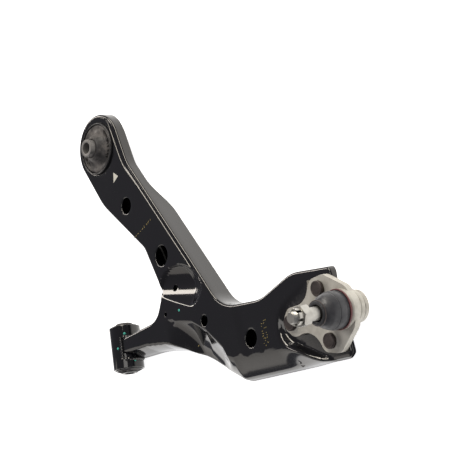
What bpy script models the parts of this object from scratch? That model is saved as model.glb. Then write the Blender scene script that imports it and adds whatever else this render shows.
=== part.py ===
"""Front lower control arm: two welded pressed shells, two rubber bushes and a bolted ball joint.

Metres, +Z up. +Y is rearward along the front bush axis and +X is outboard. The plan tables are in
millimetres from the rear bush axis, and heights are in millimetres from the arm's top face.
"""

import math

import bmesh
import bpy
from mathutils import Matrix, Vector
from mathutils.geometry import delaunay_2d_cdt, intersect_point_line

MM = 0.001

# ---- frame ---------------------------------------------------------------------------------------
PLAN_CENTRE = (201.4, -155.1)     # plan point that lies over the world origin
FACE_HEIGHT = 38.0                # top face above the floor
GAP = 0.3                         # air left between pieces that touch on the real part

# ---- pressed shells ------------------------------------------------------------------------------
SHEET = 2.8
EYE_RADIUS = 44.0                 # rounded rear end of the arm around its bush
SEAM_LIFT = 6.0                   # height of the welded seam above the underside
SEAM_LAP = 2.0                    # how far the lower tray reaches up inside the upper shell
EDGE_RADIUS = 4.0                 # press radius between face and wall
TRAY_RADIUS = 2.6                 # the same on the lower tray
DRAFT = 1.2                       # outward lean of the walls over their height
LATTICE = 13.0                    # spacing of the face mesh
FINE_LATTICE = 6.5                # spacing where the face is formed
EDGE_STEP = 8.5                   # spacing along the rim

# Corner points of the plan outline, anticlockwise: x, y, corner radius.
INNER_CORNERS = [
    (209, -252, 55), (57, -32, 60), (32.8, 45.2, EYE_RADIUS), (-77.3, 45.2, EYE_RADIUS), (-5, -75, 80),
    (71, -149, 25), (96, -209, 25), (78, -240, 25), (-4, -246, 9), (-4, -273, 9), (107, -277, 230),
    (213, -344, 25),
]
UPPER_OUTLINE = INNER_CORNERS + [(413, -356, 9), (410.5, -251, 9), (340, -242, 60), (280, -259, 60)]
TRAY_OUTLINE = INNER_CORNERS + [(362, -352.7, 12), (362, -244.2, 12), (340, -242, 30), (280, -259, 60)]
FRONT_EDGE = [
    (-4, -273), (50, -274.5), (87, -280), (118, -288.5), (147, -303), (175, -320), (213, -344), (413, -356),
]
CREST = [(118, -250), (150, -258), (176, -274), (203, -300), (222, -336), (228, -350)]
FRONT_DROP = 22.0                 # fall of the face at the front edge
FOLD_DROP = 1.5                   # the outboard part lies this much lower, past a soft fold
CUP = {"centre": (136, -213), "turn": -12.0, "half": (43.0, 28.0), "depth": 13.0}
FACE_HOLES = [(46, -87, 10.0), (106, -166, 12.5), (174, -262, 6.5), (256, -301, 10.5)]
DRAIN_HOLES = [(100, -238, 2.5), (325, -345, 2.5)]
CUP_DRAIN = (118, -209, 4.0)

# ---- rear bush, upright ---------------------------------------------------------------------------
REAR_CAN_RADIUS = 33.0
REAR_CAN_WALL = 2.0
REAR_CAN_TOP, REAR_CAN_BOTTOM = 1.5, -22.0
REAR_SLEEVE_RADIUS, REAR_SLEEVE_BORE = 11.0, 7.2
REAR_SLEEVE_TOP = 17.0
COLLAR_BOTTOM = -11.5

# ---- front bush, along Y --------------------------------------------------------------------------
FRONT_BUSH = (-10.0, -257.0, -16.0)
FRONT_TUBE_RADIUS, FRONT_TUBE_LENGTH = 19.5, 54.0
FRONT_TUBE_WALL = 2.6
FRONT_CAN_WALL = 1.6
FRONT_SLEEVE_RADIUS, FRONT_SLEEVE_BORE = 10.5, 6.1
FRONT_SLEEVE_LENGTH = 63.0

# ---- ball joint -----------------------------------------------------------------------------------
# Its pieces share a frame at the ball's centre, tilted about X with the flange. Heights below are
# from the ball's centre along that frame's axis.
BALL = (423.0, -304.0, 1.0)
JOINT_TILT = 8.5                  # degrees that the flange and stud lean forward
FLANGE_TOP, FLANGE_BOTTOM = -1.0, -9.0
FLANGE_BOLTS = [(-28.8, 30.0), (-87.4, 3.6), (-30.3, -29.3)]
BALL_RADIUS = 12.0
BOLT_SHANK, BOLT_HEAD, BOLT_HEAD_HEIGHT = 5.0, 9.0, 4.5
NUT_ACROSS_FLATS, NUT_HEIGHT = 17.0, 9.0
NUT_ACCESS = 14.0                 # hole in the tray under the inboard nut
HOUSING_RADIUS = 22.5
HOUSING_TOP, HOUSING_BOTTOM = 8.0, -25.0

BLACK_PAINT = ((0.012, 0.012, 0.014, 1), 0.22, 0.0)
RUBBER = ((0.045, 0.040, 0.036, 1), 0.75, 0.0)
ZINC_STEEL = ((0.55, 0.53, 0.49, 1), 0.38, 1.0)
DARK_STEEL = ((0.10, 0.085, 0.08, 1), 0.45, 1.0)
BARE_STEEL = ((0.60, 0.58, 0.53, 1), 0.35, 1.0)
BLUE_ZINC = ((0.42, 0.47, 0.56, 1), 0.35, 1.0)
RED_CLIP = ((0.12, 0.025, 0.025, 1), 0.5, 0.0)
BOOT_RUBBER = ((0.022, 0.022, 0.025, 1), 0.5, 0.0)
NYLON = ((0.80, 0.78, 0.70, 1), 0.45, 0.0)


def world(x, y, z=0.0):
    """Plan and height in millimetres to world metres."""
    return Vector((x - PLAN_CENTRE[0], y - PLAN_CENTRE[1], z + FACE_HEIGHT)) * MM


def clear_scene():
    for obj in list(bpy.data.objects):
        bpy.data.objects.remove(obj, do_unlink=True)


def principled(name, look):
    colour, roughness, metallic = look
    material = bpy.data.materials.new(name)
    material.use_nodes = True
    shader = material.node_tree.nodes["Principled BSDF"]
    shader.inputs["Base Color"].default_value = colour
    shader.inputs["Roughness"].default_value = roughness
    shader.inputs["Metallic"].default_value = metallic
    material.diffuse_color = colour
    return material


def finish(name, bm, look, location=(0, 0, 0), rotation=(0, 0, 0)):
    """Turn a bmesh into a named object with its own material."""
    bmesh.ops.recalc_face_normals(bm, faces=bm.faces)
    mesh = bpy.data.meshes.new(name)
    bm.to_mesh(mesh)
    bm.free()
    obj = bpy.data.objects.new(name, mesh)
    obj.location = location
    obj.rotation_euler = rotation
    obj.data.materials.append(principled(name + "_material", look))
    bpy.context.scene.collection.objects.link(obj)
    return obj


# ---- plan geometry --------------------------------------------------------------------------------

def rounded(points, arc_step=9.0):
    """Polygon with a tangent arc at every corner."""
    path = []
    count = len(points)
    for i, (x, y, radius) in enumerate(points):
        corner = Vector((x, y))
        before = Vector(points[i - 1][:2]) - corner
        after = Vector(points[(i + 1) % count][:2]) - corner
        half = before.angle(after) / 2
        reach = radius / math.tan(half)
        centre = corner + (before.normalized() + after.normalized()).normalized() * (radius / math.sin(half))
        start = corner + before.normalized() * reach - centre
        sweep = start.angle_signed(corner + after.normalized() * reach - centre)
        steps = max(2, math.ceil(abs(sweep) * radius / arc_step))
        for k in range(steps + 1):
            path.append(centre + Matrix.Rotation(-sweep * k / steps, 2) @ start)
    return path


def spaced(path, step):
    """Closed path resampled at an even step."""
    lengths = [0.0]
    closed = path + [path[0]]
    for a, b in zip(closed, closed[1:]):
        lengths.append(lengths[-1] + (b - a).length)
    count = round(lengths[-1] / step)
    result = []
    segment = 0
    for k in range(count):
        target = lengths[-1] * k / count
        while lengths[segment + 1] < target:
            segment += 1
        span = lengths[segment + 1] - lengths[segment]
        result.append(closed[segment].lerp(closed[segment + 1], (target - lengths[segment]) / span))
    return result


def outward(path):
    """Unit outward normals of an anticlockwise closed path."""
    normals = []
    for i, point in enumerate(path):
        along = path[(i + 1) % len(path)] - path[i - 1]
        normals.append(Vector((along.y, -along.x)).normalized())
    return normals


def circle(x, y, radius, steps):
    return [Vector((x + radius * math.cos(2 * math.pi * k / steps),
                    y + radius * math.sin(2 * math.pi * k / steps))) for k in range(steps)]


def distance_to(path, point):
    """Distance from a point to an open polyline, and the side it is on (positive to its right)."""
    best, side = 1e9, 1.0
    for a, b in zip(path, path[1:]):
        a, b = Vector(a), Vector(b)
        foot, t = intersect_point_line(point, a, b)
        foot = a.lerp(b, min(1.0, max(0.0, t)))
        away = (point - foot.to_2d()).length
        if away < best:
            best = away
            along, across = b - a, point - a
            side = 1.0 if along.x * across.y - along.y * across.x < 0 else -1.0
    return best, side


def smooth(t):
    t = min(1.0, max(0.0, t))
    return t * t * (3 - 2 * t)


def inside(path, point):
    hit = False
    for a, b in zip(path, path[1:] + path[:1]):
        if (a.y > point.y) != (b.y > point.y):
            if point.x < a.x + (point.y - a.y) * (b.x - a.x) / (b.y - a.y):
                hit = not hit
    return hit


# ---- form of the pressed arm ----------------------------------------------------------------------

def cup_coordinates(point):
    """Place in the oval pocket: along and across it, each 1 at the rim."""
    local = Matrix.Rotation(math.radians(-CUP["turn"]), 2) @ (point - Vector(CUP["centre"]))
    return local.x / CUP["half"][0], local.y / CUP["half"][1]


def cup_depth(point):
    """A round-ended bowl with a trough along its middle."""
    along, across = cup_coordinates(point)
    reach = math.hypot(along, across)
    if reach >= 1:
        return 0.0
    trough = 0.4 + 0.6 * math.sqrt(max(0.0, 1 - (across / 0.8) ** 2))
    return CUP["depth"] * min(trough, (1 - reach) / 0.42)


def joint_point(x, y, z):
    """Plan and height of a point given in the ball joint's frame."""
    tilt = math.radians(JOINT_TILT)
    return (BALL[0] + x, BALL[1] + y * math.cos(tilt) - z * math.sin(tilt),
            BALL[2] + y * math.sin(tilt) + z * math.cos(tilt))


def seat_mask(point):
    """1 under the ball joint's flange, falling to 0 outside a rim around it."""
    corners = [Vector(joint_point(x, y, 0)[:2]) for x, y in FLANGE_BOLTS]
    outboard = [Vector((450, BALL[1] - 12)), Vector((450, BALL[1] + 12))]
    path = [corners[0], corners[1], corners[2]] + outboard + [corners[0]]
    away = 0.0
    if not inside(path[:-1], point):
        away, _ = distance_to(path, point)
    return smooth((26.0 - away) / 8.0 + 0.5)


def seat_height(point):
    tilt = math.radians(JOINT_TILT)
    lift = (point.y - BALL[1]) * math.sin(tilt)
    return BALL[2] + (FLANGE_BOTTOM - GAP + lift) / math.cos(tilt)


def face_height(point):
    """Height of the arm's upper surface at a plan point."""
    edge, _ = distance_to(FRONT_EDGE, point)
    outboard = smooth((point.x - 300) / 80)
    bend = 9.0 + 19.0 * smooth((point.x - 150) / 80) * (1 - outboard)
    front = FRONT_DROP * (1 - 0.45 * outboard) * max(0.0, 1 - edge / bend) ** 1.7
    crest, side = distance_to(CREST, point)
    fall = min(1.0, max(0.0, side * crest / 38.0))
    gusset = FRONT_DROP * (1 - (1 - fall) ** 1.5) * smooth((point.x - 98) / 45)
    fold = FOLD_DROP * smooth((point.x + 0.18 * (point.y + 253) - 218) / 24)
    plain = -max(front, gusset, cup_depth(point), fold)
    seat = min(plain, seat_height(point))
    return plain + (seat - plain) * seat_mask(point)


def arm_depth(point):
    """Distance from the top face to the underside of the welded box."""
    leg = 20.0 + 14.0 * smooth((-60 - point.y) / 50)
    return leg - 10.0 * smooth((point.x - 330) / 70) - 8.0 * smooth((point.x - 385) / 20)


def face_mesh(rim, holes, step, fine):
    """Flat triangulated face inside a rim, open at the holes, with points where it is formed."""
    points = list(rim)
    loops = [list(range(len(rim)))]
    for hole in holes:
        loops.append(list(range(len(points), len(points) + len(hole)))[::-1])
        points += hole
    edges = [(a, b) for loop in loops for a, b in zip(loop, loop[1:] + loop[:1])]
    west, east = min(p.x for p in rim), max(p.x for p in rim)
    south, north = min(p.y for p in rim), max(p.y for p in rim)
    ratio = round(step / fine)
    for i in range(int((east - west) / fine)):
        for j in range(int((north - south) / fine)):
            point = Vector((west + (i + 0.5) * fine, south + (j + 0.5) * fine))
            along, across = cup_coordinates(point)
            on_seat = seat_mask(point) > 0
            formed = along ** 2 + across ** 2 < 1.3 or distance_to(CREST, point)[0] < 22 or on_seat
            if not formed and (i % ratio or j % ratio):
                continue
            if not inside(rim, point) or min((point - q).length for q in points[:len(rim)]) < fine * 0.7:
                continue
            if any(inside(hole, point) or min((point - q).length for q in hole) < fine * 0.6
                   for hole in holes):
                continue
            points.append(point)
    verts, _, faces, _, _, _ = delaunay_2d_cdt(points, edges, [], 1, 1e-4)
    solid = []
    for face in faces:
        middle = sum((verts[i] for i in face), Vector((0, 0))) / len(face)
        if not any(inside(hole, middle) for hole in holes):
            solid.append(face)
    return verts, solid


def pressed_shell(name, outline, inset, rings, surface, holes, direction):
    """A pressed sheet: a face, its press radius and its wall, given thickness inwards.

    The face's rim lies inset inside the outline. rings lists how far each row of the edge lies
    outside that rim, and its height as a function of the plan point. direction is +1 when the face
    is on top and -1 when it is underneath.
    """
    outer = spaced(rounded(outline), EDGE_STEP)
    normals = outward(outer)
    rim = [p - n * inset for p, n in zip(outer, normals)]
    verts, faces = face_mesh(rim, holes, LATTICE, FINE_LATTICE)
    bm = bmesh.new()
    made = [bm.verts.new(world(v.x, v.y, surface(v))) for v in verts]
    for face in faces:
        bm.faces.new([made[i] for i in face])
    row = made[:len(rim)]
    for out, height in rings:
        new_row = []
        for p, n in zip(rim, normals):
            q = p + n * out
            new_row.append(bm.verts.new(world(q.x, q.y, height(p))))
        for i in range(len(row)):
            j = (i + 1) % len(row)
            bm.faces.new((row[i], new_row[i], new_row[j], row[j]))
        row = new_row
    bmesh.ops.recalc_face_normals(bm, faces=bm.faces)
    if sum(f.normal.z * f.calc_area() for f in bm.faces) * direction < 0:
        bmesh.ops.reverse_faces(bm, faces=bm.faces)
    mesh = bpy.data.meshes.new(name)
    bm.to_mesh(mesh)
    bm.free()
    obj = bpy.data.objects.new(name, mesh)
    obj.data.materials.append(principled(name + "_material", BLACK_PAINT))
    bpy.context.scene.collection.objects.link(obj)
    solid = obj.modifiers.new("sheet", "SOLIDIFY")
    solid.thickness = SHEET * MM
    solid.offset = -1
    return obj


# ---- solids ---------------------------------------------------------------------------------------

def turned(name, profile, look, steps=32, location=(0, 0, 0), rotation=(0, 0, 0)):
    """Solid of revolution about its local Z from a closed profile of (radius, height) points."""
    bm = bmesh.new()
    verts = [bm.verts.new((r * MM, 0, z * MM)) for r, z in profile]
    edges = [bm.edges.new((a, b)) for a, b in zip(verts, verts[1:] + verts[:1])
             if a.co.x > 0 or b.co.x > 0]
    bmesh.ops.spin(bm, geom=verts + edges, cent=(0, 0, 0), axis=(0, 0, 1),
                   angle=2 * math.pi, steps=steps, use_merge=True)
    bmesh.ops.remove_doubles(bm, verts=bm.verts, dist=0.00001)
    return finish(name, bm, look, location, rotation)


def tube(name, outer, inner, bottom, top, look, steps=32, chamfer=0.6, **place):
    profile = [(inner, bottom), (outer - chamfer, bottom), (outer, bottom + chamfer),
               (outer, top - chamfer), (outer - chamfer, top), (inner, top)]
    return turned(name, profile, look, steps, **place)


def prism(name, path, bottom, top, look, location=(0, 0, 0), rotation=(0, 0, 0)):
    """Upright solid with a closed plan path, in its own frame."""
    bm = bmesh.new()
    verts = [bm.verts.new((p[0] * MM, p[1] * MM, bottom * MM)) for p in path]
    face = bm.faces.new(verts)
    grown = bmesh.ops.extrude_face_region(bm, geom=[face])
    lifted = [g for g in grown["geom"] if isinstance(g, bmesh.types.BMVert)]
    bmesh.ops.translate(bm, verts=lifted, vec=(0, 0, (top - bottom) * MM))
    return finish(name, bm, look, location, rotation)


def as_cutter(obj):
    obj.hide_render = True
    obj.display_type = "WIRE"
    bpy.context.scene.collection.objects.unlink(obj)
    cutters = bpy.data.collections.get("cutters") or bpy.data.collections.new("cutters")
    if cutters.name not in bpy.context.scene.collection.children:
        bpy.context.scene.collection.children.link(cutters)
    cutters.objects.link(obj)
    return obj


def combine(obj, other, operation):
    step = obj.modifiers.new(operation.lower(), "BOOLEAN")
    step.operation = operation
    step.solver = "EXACT"
    step.object = as_cutter(other)


# ---- welded arm -----------------------------------------------------------------------------------

def eye_loop():
    return circle(0, 0, REAR_CAN_RADIUS + GAP, 36)


def front_tube_cutter(name):
    x, y, z = FRONT_BUSH
    return tube(name, FRONT_TUBE_RADIUS + GAP, 0, -40, 40, BLACK_PAINT, steps=32, chamfer=0.1,
                location=world(x, y, z), rotation=(math.pi / 2, 0, 0))


def upper_shell():
    holes = [eye_loop()]
    for x, y in FLANGE_BOLTS:
        bolt_x, bolt_y, _ = joint_point(x, y, FLANGE_BOTTOM - SHEET / 2)
        holes.append(circle(bolt_x, bolt_y, BOLT_SHANK + 1.0, 12))
    holes += [circle(x, y, r, 16) for x, y, r in FACE_HOLES]
    holes += [circle(x, y, r, 10) for x, y, r in DRAIN_HOLES + [CUP_DRAIN]]

    def seam(point):
        return min(SEAM_LIFT - arm_depth(point), face_height(point) - EDGE_RADIUS - 1.5)

    rings = [
        (EDGE_RADIUS * 0.55, lambda p: face_height(p) - EDGE_RADIUS * 0.16),
        (EDGE_RADIUS * 0.95, lambda p: face_height(p) - EDGE_RADIUS * 0.75),
        (EDGE_RADIUS + DRAFT, seam),
    ]
    shell = pressed_shell("upper_shell", UPPER_OUTLINE, DRAFT + EDGE_RADIUS, rings, face_height, holes, 1)
    combine(shell, front_tube_cutter("front_tube_cut_upper"), "DIFFERENCE")
    notch = tube("ball_joint_notch", HOUSING_RADIUS + 1.5, 0, -40, 10, BLACK_PAINT, 40, 0.1,
                 location=world(BALL[0], BALL[1] + 1.5))
    combine(shell, notch, "DIFFERENCE")


def lower_shell():
    nut_x, nut_y, _ = joint_point(*FLANGE_BOLTS[1], FLANGE_BOTTOM - 12)
    holes = [eye_loop(), circle(nut_x, nut_y, NUT_ACCESS, 24)]

    def underside(point):
        return -arm_depth(point)

    def lap(point):
        closed_end = smooth((point.x - 338) / 14)
        lapped = SEAM_LIFT + SEAM_LAP - arm_depth(point)
        under = face_height(point) - SHEET - 5.8
        return min(under, lapped * (1 - closed_end) + under * closed_end)

    rings = [
        (TRAY_RADIUS * 0.55, lambda p: underside(p) + TRAY_RADIUS * 0.16),
        (TRAY_RADIUS * 0.95, lambda p: underside(p) + TRAY_RADIUS * 0.75),
        (TRAY_RADIUS, lap),
    ]
    inset = SHEET + GAP + DRAFT + TRAY_RADIUS
    shell = pressed_shell("lower_shell", TRAY_OUTLINE, inset, rings, underside, holes, -1)
    combine(shell, front_tube_cutter("front_tube_cut_lower"), "DIFFERENCE")


# ---- bushes ---------------------------------------------------------------------------------------

def rear_bush():
    place = {"location": world(0, 0, 0)}
    inner_can = REAR_CAN_RADIUS - REAR_CAN_WALL
    tube("rear_bush_collar", REAR_CAN_RADIUS + 3.5, REAR_CAN_RADIUS + GAP, COLLAR_BOTTOM,
         -SHEET - GAP, BLACK_PAINT, steps=40, **place)
    tube("rear_bush_outer_can", REAR_CAN_RADIUS, inner_can, REAR_CAN_BOTTOM, REAR_CAN_TOP,
         BLACK_PAINT, steps=40, **place)
    outer, inner = inner_can - GAP, REAR_SLEEVE_RADIUS + GAP
    profile = [(inner, REAR_CAN_BOTTOM - 1), (outer - 9, REAR_CAN_BOTTOM + 2), (outer, REAR_CAN_BOTTOM + 3),
               (outer, -2), (outer - 4, -3.5), (outer - 9, -2.5), (inner + 5, 4), (inner, 9)]
    rubber = turned("rear_bush_rubber", profile, RUBBER, 40, **place)
    for side in (0, 1):
        path = []
        for k in range(9):
            angle = math.radians(-48 + 12 * k + 180 * side)
            path.append((25.5 * math.cos(angle), 25.5 * math.sin(angle)))
        for k in range(9):
            angle = math.radians(48 - 12 * k + 180 * side)
            path.append((20.5 * math.cos(angle), 20.5 * math.sin(angle)))
        void = prism(f"rear_void_{side}", path, -45, 20, RUBBER, **place)
        combine(rubber, void, "DIFFERENCE")
    middle = (REAR_SLEEVE_TOP - FACE_HEIGHT) / 2
    reach = (REAR_SLEEVE_TOP + FACE_HEIGHT) / 2
    tube("rear_bush_inner_sleeve", REAR_SLEEVE_RADIUS, REAR_SLEEVE_BORE, -reach, reach, ZINC_STEEL,
         location=world(0, 0, middle))


def front_bush():
    x, y, z = FRONT_BUSH
    place = {"location": world(x, y, z), "rotation": (math.pi / 2, 0, 0)}
    half = FRONT_TUBE_LENGTH / 2
    tube("front_bush_housing", FRONT_TUBE_RADIUS, FRONT_TUBE_RADIUS - FRONT_TUBE_WALL, -half, half,
         BLACK_PAINT, **place)
    can = FRONT_TUBE_RADIUS - FRONT_TUBE_WALL - GAP
    bore = can - FRONT_CAN_WALL
    tube("front_bush_outer_can", can, bore, -half - 1.2, half + 1.2, BLACK_PAINT, **place)
    outer, inner = bore - GAP, FRONT_SLEEVE_RADIUS + GAP
    end = half + 2.6
    profile = [(inner, -end), (outer - 1.4, -end), (outer, -half), (outer, half), (outer - 1.4, end), (inner, end)]
    turned("front_bush_rubber", profile, RUBBER, **place)
    reach = FRONT_SLEEVE_LENGTH / 2
    tube("front_bush_inner_sleeve", FRONT_SLEEVE_RADIUS, FRONT_SLEEVE_BORE, -reach, reach, ZINC_STEEL,
         **place)


# ---- ball joint -----------------------------------------------------------------------------------

def joint_place():
    return {"location": world(*BALL), "rotation": (math.radians(JOINT_TILT), 0, 0)}


def flange_path():
    """Three lobes joined by hollow sides, with the broad end around the ball."""
    (ax, ay), (bx, by), (cx, cy) = FLANGE_BOLTS
    corners = [
        (16, 21, 17), (ax + 10, ay + 14, 13), (ax - 17, ay + 12.5, 12), (ax - 20, by + 16, 26),
        (bx - 2, by + 17, 12), (bx - 19, by, 12), (bx - 2, by - 17, 12), (cx - 22, by - 14, 26),
        (cx - 16, cy - 10, 12), (cx + 10, cy - 17, 13), (16, -21, 17),
    ]
    return rounded(corners, 4.5)


def housing():
    place = joint_place()
    body = prism("ball_joint_housing", flange_path(), FLANGE_BOTTOM, FLANGE_TOP, BARE_STEEL, **place)
    barrel = [(0, HOUSING_BOTTOM), (17.6, HOUSING_BOTTOM), (18.4, HOUSING_BOTTOM + 0.8), (18.4, -19),
              (19.8, -17.5), (19.8, -11), (HOUSING_RADIUS, -8), (HOUSING_RADIUS, 1), (21.4, 3.2),
              (19.7, 4.2), (19.7, HOUSING_TOP), (0, HOUSING_TOP)]
    combine(body, turned("housing_barrel", barrel, BARE_STEEL, 40, **place), "UNION")
    cavity = [(0, HOUSING_BOTTOM - 1), (16.3, HOUSING_BOTTOM - 1), (16.3, 4.0), (12.6, 6.2),
              (15.5, HOUSING_TOP + 1), (0, HOUSING_TOP + 1)]
    combine(body, turned("housing_cavity", cavity, BARE_STEEL, 40, **place), "DIFFERENCE")
    for number, bolt in enumerate(FLANGE_BOLTS):
        bore = tube(f"flange_bore_{number}", BOLT_SHANK + GAP, 0, -30, 10, BARE_STEEL, 16, 0.1,
                    location=world(*joint_point(*bolt, 0)), rotation=place["rotation"])
        combine(body, bore, "DIFFERENCE")


def seat_and_cover():
    place = joint_place()
    outer = 16.0
    inner = BALL_RADIUS + 0.25
    profile = [(outer, 2.9), (12.4, 4.6)]
    for k in range(9):
        angle = math.radians(20 - 12.5 * k)
        profile.append((inner * math.cos(angle), inner * math.sin(angle)))
    profile += [(2.0, -17.0), (outer, -17.0)]
    turned("ball_seat", profile, NYLON, 36, **place)
    low = HOUSING_BOTTOM
    turned("housing_cover_plate", [(0, low + 1.0), (10, low + 1.0), (12, low + 2.0), (15.9, low + 2.0),
                                   (15.9, -17.4), (0, -17.4)], ZINC_STEEL, 36, **place)


def stud_and_nut():
    place = joint_place()
    profile = [(0, -10.5), (5.8, -10.5)]
    for k in range(13):
        angle = math.radians(-58 + 9.2 * k)
        profile.append((BALL_RADIUS * math.cos(angle), BALL_RADIUS * math.sin(angle)))
    profile += [(6.6, 15), (6.9, 24), (8.0, 26), (8.0, 40), (7.0, 56), (6.9, 57), (6.9, 74),
                (6.0, 75.5), (0, 75.5)]
    turned("ball_stud", profile, BARE_STEEL, 28, **place)
    nut_low, nut_high, crown = 53.0, 64.0, 70.0
    hexagon = [(12.7 * math.cos(math.radians(60 * k)), 12.7 * math.sin(math.radians(60 * k)))
               for k in range(6)]
    nut = prism("castle_nut", hexagon, nut_low, nut_high, BARE_STEEL, **place)
    combine(nut, tube("nut_crown", 9.6, 0, nut_high - 2, crown, BARE_STEEL, 24, 0.5, **place), "UNION")
    taper = [(0, nut_low - 1), (8.3, nut_low - 1), (7.2 + GAP, 57), (7.2, crown + 1), (0, crown + 1)]
    combine(nut, turned("nut_bore", taper, BARE_STEEL, 28, **place), "DIFFERENCE")
    for k in range(3):
        slot = [(-12, -1.7), (12, -1.7), (12, 1.7), (-12, 1.7)]
        turn = Matrix.Rotation(math.radians(60 * k + 30), 2)
        slot = [turn @ Vector(p) for p in slot]
        cutter = prism(f"nut_slot_{k}", slot, nut_high + 1, crown + 2, BARE_STEEL, **place)
        combine(nut, cutter, "DIFFERENCE")


def boot():
    place = joint_place()
    tube("boot_base_ring", 23.0, 21.6, 4.9, 7.5, RED_CLIP, 36, 0.4, **place)
    outline = [(21.2, 4.4), (21.2, 9.5), (21.9, 14.0), (20.9, 21.0), (17.8, 28.0), (14.2, 33.0),
               (12.9, 35.0), (12.9, 37.6), (9.4, 37.6), (9.4, 34.0), (15.2, 27.5), (18.5, 20.5),
               (20.1, 14.0), (20.3, 9.6), (20.3, 4.4)]
    turned("dust_boot", outline, BOOT_RUBBER, 32, **place)
    tube("boot_top_ring", 14.1, 13.2, 35.2, 37.4, DARK_STEEL, 28, 0.2, **place)


def fasteners():
    turn = joint_place()["rotation"]
    sheet_under = FLANGE_BOTTOM - GAP - SHEET
    for number, bolt in enumerate(FLANGE_BOLTS, 1):
        place = {"location": world(*joint_point(*bolt, 0)), "rotation": turn}
        head = FLANGE_TOP + GAP
        tip = sheet_under - NUT_HEIGHT - 3.5
        profile = [(0, tip), (BOLT_SHANK - 0.8, tip), (BOLT_SHANK - 0.1, tip + 0.8), (BOLT_SHANK - 0.1, head),
                   (BOLT_HEAD, head), (BOLT_HEAD, head + BOLT_HEAD_HEIGHT - 0.8),
                   (BOLT_HEAD - 0.8, head + BOLT_HEAD_HEIGHT), (0, head + BOLT_HEAD_HEIGHT)]
        turned(f"flange_bolt_{number}", profile, DARK_STEEL, 20, **place)
        across = NUT_ACROSS_FLATS / math.sqrt(3)
        hexagon = [(across * math.cos(math.radians(60 * k)), across * math.sin(math.radians(60 * k)))
                   for k in range(6)]
        top = sheet_under - 0.6
        nut = prism(f"flange_nut_{number}", hexagon, top - NUT_HEIGHT, top - 1.4, BLUE_ZINC, **place)
        washer = tube(f"nut_collar_{number}", 10.2, 0, top - 2.4, top, BLUE_ZINC, 24, 0.3, **place)
        combine(nut, washer, "UNION")
        bore = tube(f"nut_thread_{number}", BOLT_SHANK + GAP, 0, -60, 20, BLUE_ZINC, 20, 0.1, **place)
        combine(nut, bore, "DIFFERENCE")


clear_scene()
upper_shell()
lower_shell()
rear_bush()
front_bush()
housing()
seat_and_cover()
stud_and_nut()
boot()
fasteners()
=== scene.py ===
import math
import random

import bmesh
import bpy
from mathutils import Matrix, Vector
from mathutils.geometry import delaunay_2d_cdt
from mathutils.kdtree import KDTree

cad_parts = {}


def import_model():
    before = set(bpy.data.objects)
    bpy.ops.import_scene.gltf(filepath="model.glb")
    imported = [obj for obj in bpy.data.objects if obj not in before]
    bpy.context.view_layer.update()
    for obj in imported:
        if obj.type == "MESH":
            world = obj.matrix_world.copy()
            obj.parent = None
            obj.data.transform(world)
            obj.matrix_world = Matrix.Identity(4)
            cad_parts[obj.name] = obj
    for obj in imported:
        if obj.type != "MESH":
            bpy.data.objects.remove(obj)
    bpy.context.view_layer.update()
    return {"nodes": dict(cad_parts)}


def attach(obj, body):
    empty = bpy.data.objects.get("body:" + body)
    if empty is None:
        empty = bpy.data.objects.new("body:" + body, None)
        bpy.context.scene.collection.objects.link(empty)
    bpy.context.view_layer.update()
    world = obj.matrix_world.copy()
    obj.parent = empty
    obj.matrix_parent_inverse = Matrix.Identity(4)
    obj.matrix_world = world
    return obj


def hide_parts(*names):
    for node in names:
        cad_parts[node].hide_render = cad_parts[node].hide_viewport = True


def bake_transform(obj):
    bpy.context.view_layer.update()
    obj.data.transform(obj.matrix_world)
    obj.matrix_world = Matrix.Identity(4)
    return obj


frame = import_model()

# Finished looks of a lower control arm: gloss black pressed shells, rubber bushes and a bare steel
# ball joint. Plan tables are in millimetres from the rear bush axis, heights from the top face.

MM = 0.001
PLAN_CENTRE = (201.4, -155.1)
FACE_HEIGHT = 38.0

SHEET = 2.8
GAP = 0.3
DRAFT = 1.2
EDGE = 3.4                        # press radius between face and wall
TRAY_EDGE = 2.6
SEAM_LIFT = 6.0
SEAM_LAP = 2.0
FINE_LATTICE = 1.7                # point spacing of the face where it is formed
COARSE_RATIO = 3                  # and how many times wider it is where the face is flat
RIM_STEP = 2.6

INNER_CORNERS = [
    (209, -252, 55), (57, -32, 60), (32.8, 45.2, 44), (-77.3, 45.2, 44), (-5, -75, 80),
    (71, -149, 25), (96, -209, 25), (78, -240, 25), (-4, -246, 9), (-4, -273, 9), (107, -277, 230),
    (213, -344, 25),
]
UPPER_OUTLINE = INNER_CORNERS + [(413, -356, 9), (410.5, -251, 9), (340, -242, 60), (280, -259, 60)]
TRAY_OUTLINE = INNER_CORNERS + [(362, -352.7, 12), (362, -244.2, 12), (340, -242, 30), (280, -259, 60)]
FRONT_EDGE = [
    (-4, -273), (50, -274.5), (87, -280), (118, -288.5), (147, -303), (175, -320), (213, -344),
    (413, -356),
]
CREST = [(118, -250), (150, -258), (176, -274), (203, -300), (222, -336), (228, -350)]
FRONT_DROP = 22.0
GUSSET_WIDTH = 38.0
FOLD_DROP = 1.5
LEDGE_DROP = 0.95
LEDGE_WIDTH = 1.7
CUP_CENTRE, CUP_TURN, CUP_HALF, CUP_DEPTH = (136, -213), -12.0, (43.0, 28.0), 13.0
CUP_INNER_DEPTH = 5.0
SEAT_REACH, SEAT_EASE = 26.0, 8.0
FACE_HOLES = [(46, -87, 10.0), (106, -166, 12.5), (174, -262, 6.5), (256, -301, 10.5)]
DRAIN_HOLES = [(100, -238, 2.5), (325, -345, 1.5), (118, -209, 4.0)]
BALL = (423.0, -304.0, 1.0)
JOINT_TILT = 8.5
FLANGE_TOP, FLANGE_BOTTOM = -1.0, -9.0
FLANGE_BOLTS = [(-28.8, 30.0), (-87.4, 3.6), (-30.3, -29.3)]
BOLT_SHANK = 4.9
FRONT_BUSH = (-10.0, -257.0, -16.0)
TUBE_RADIUS = 19.5
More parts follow.
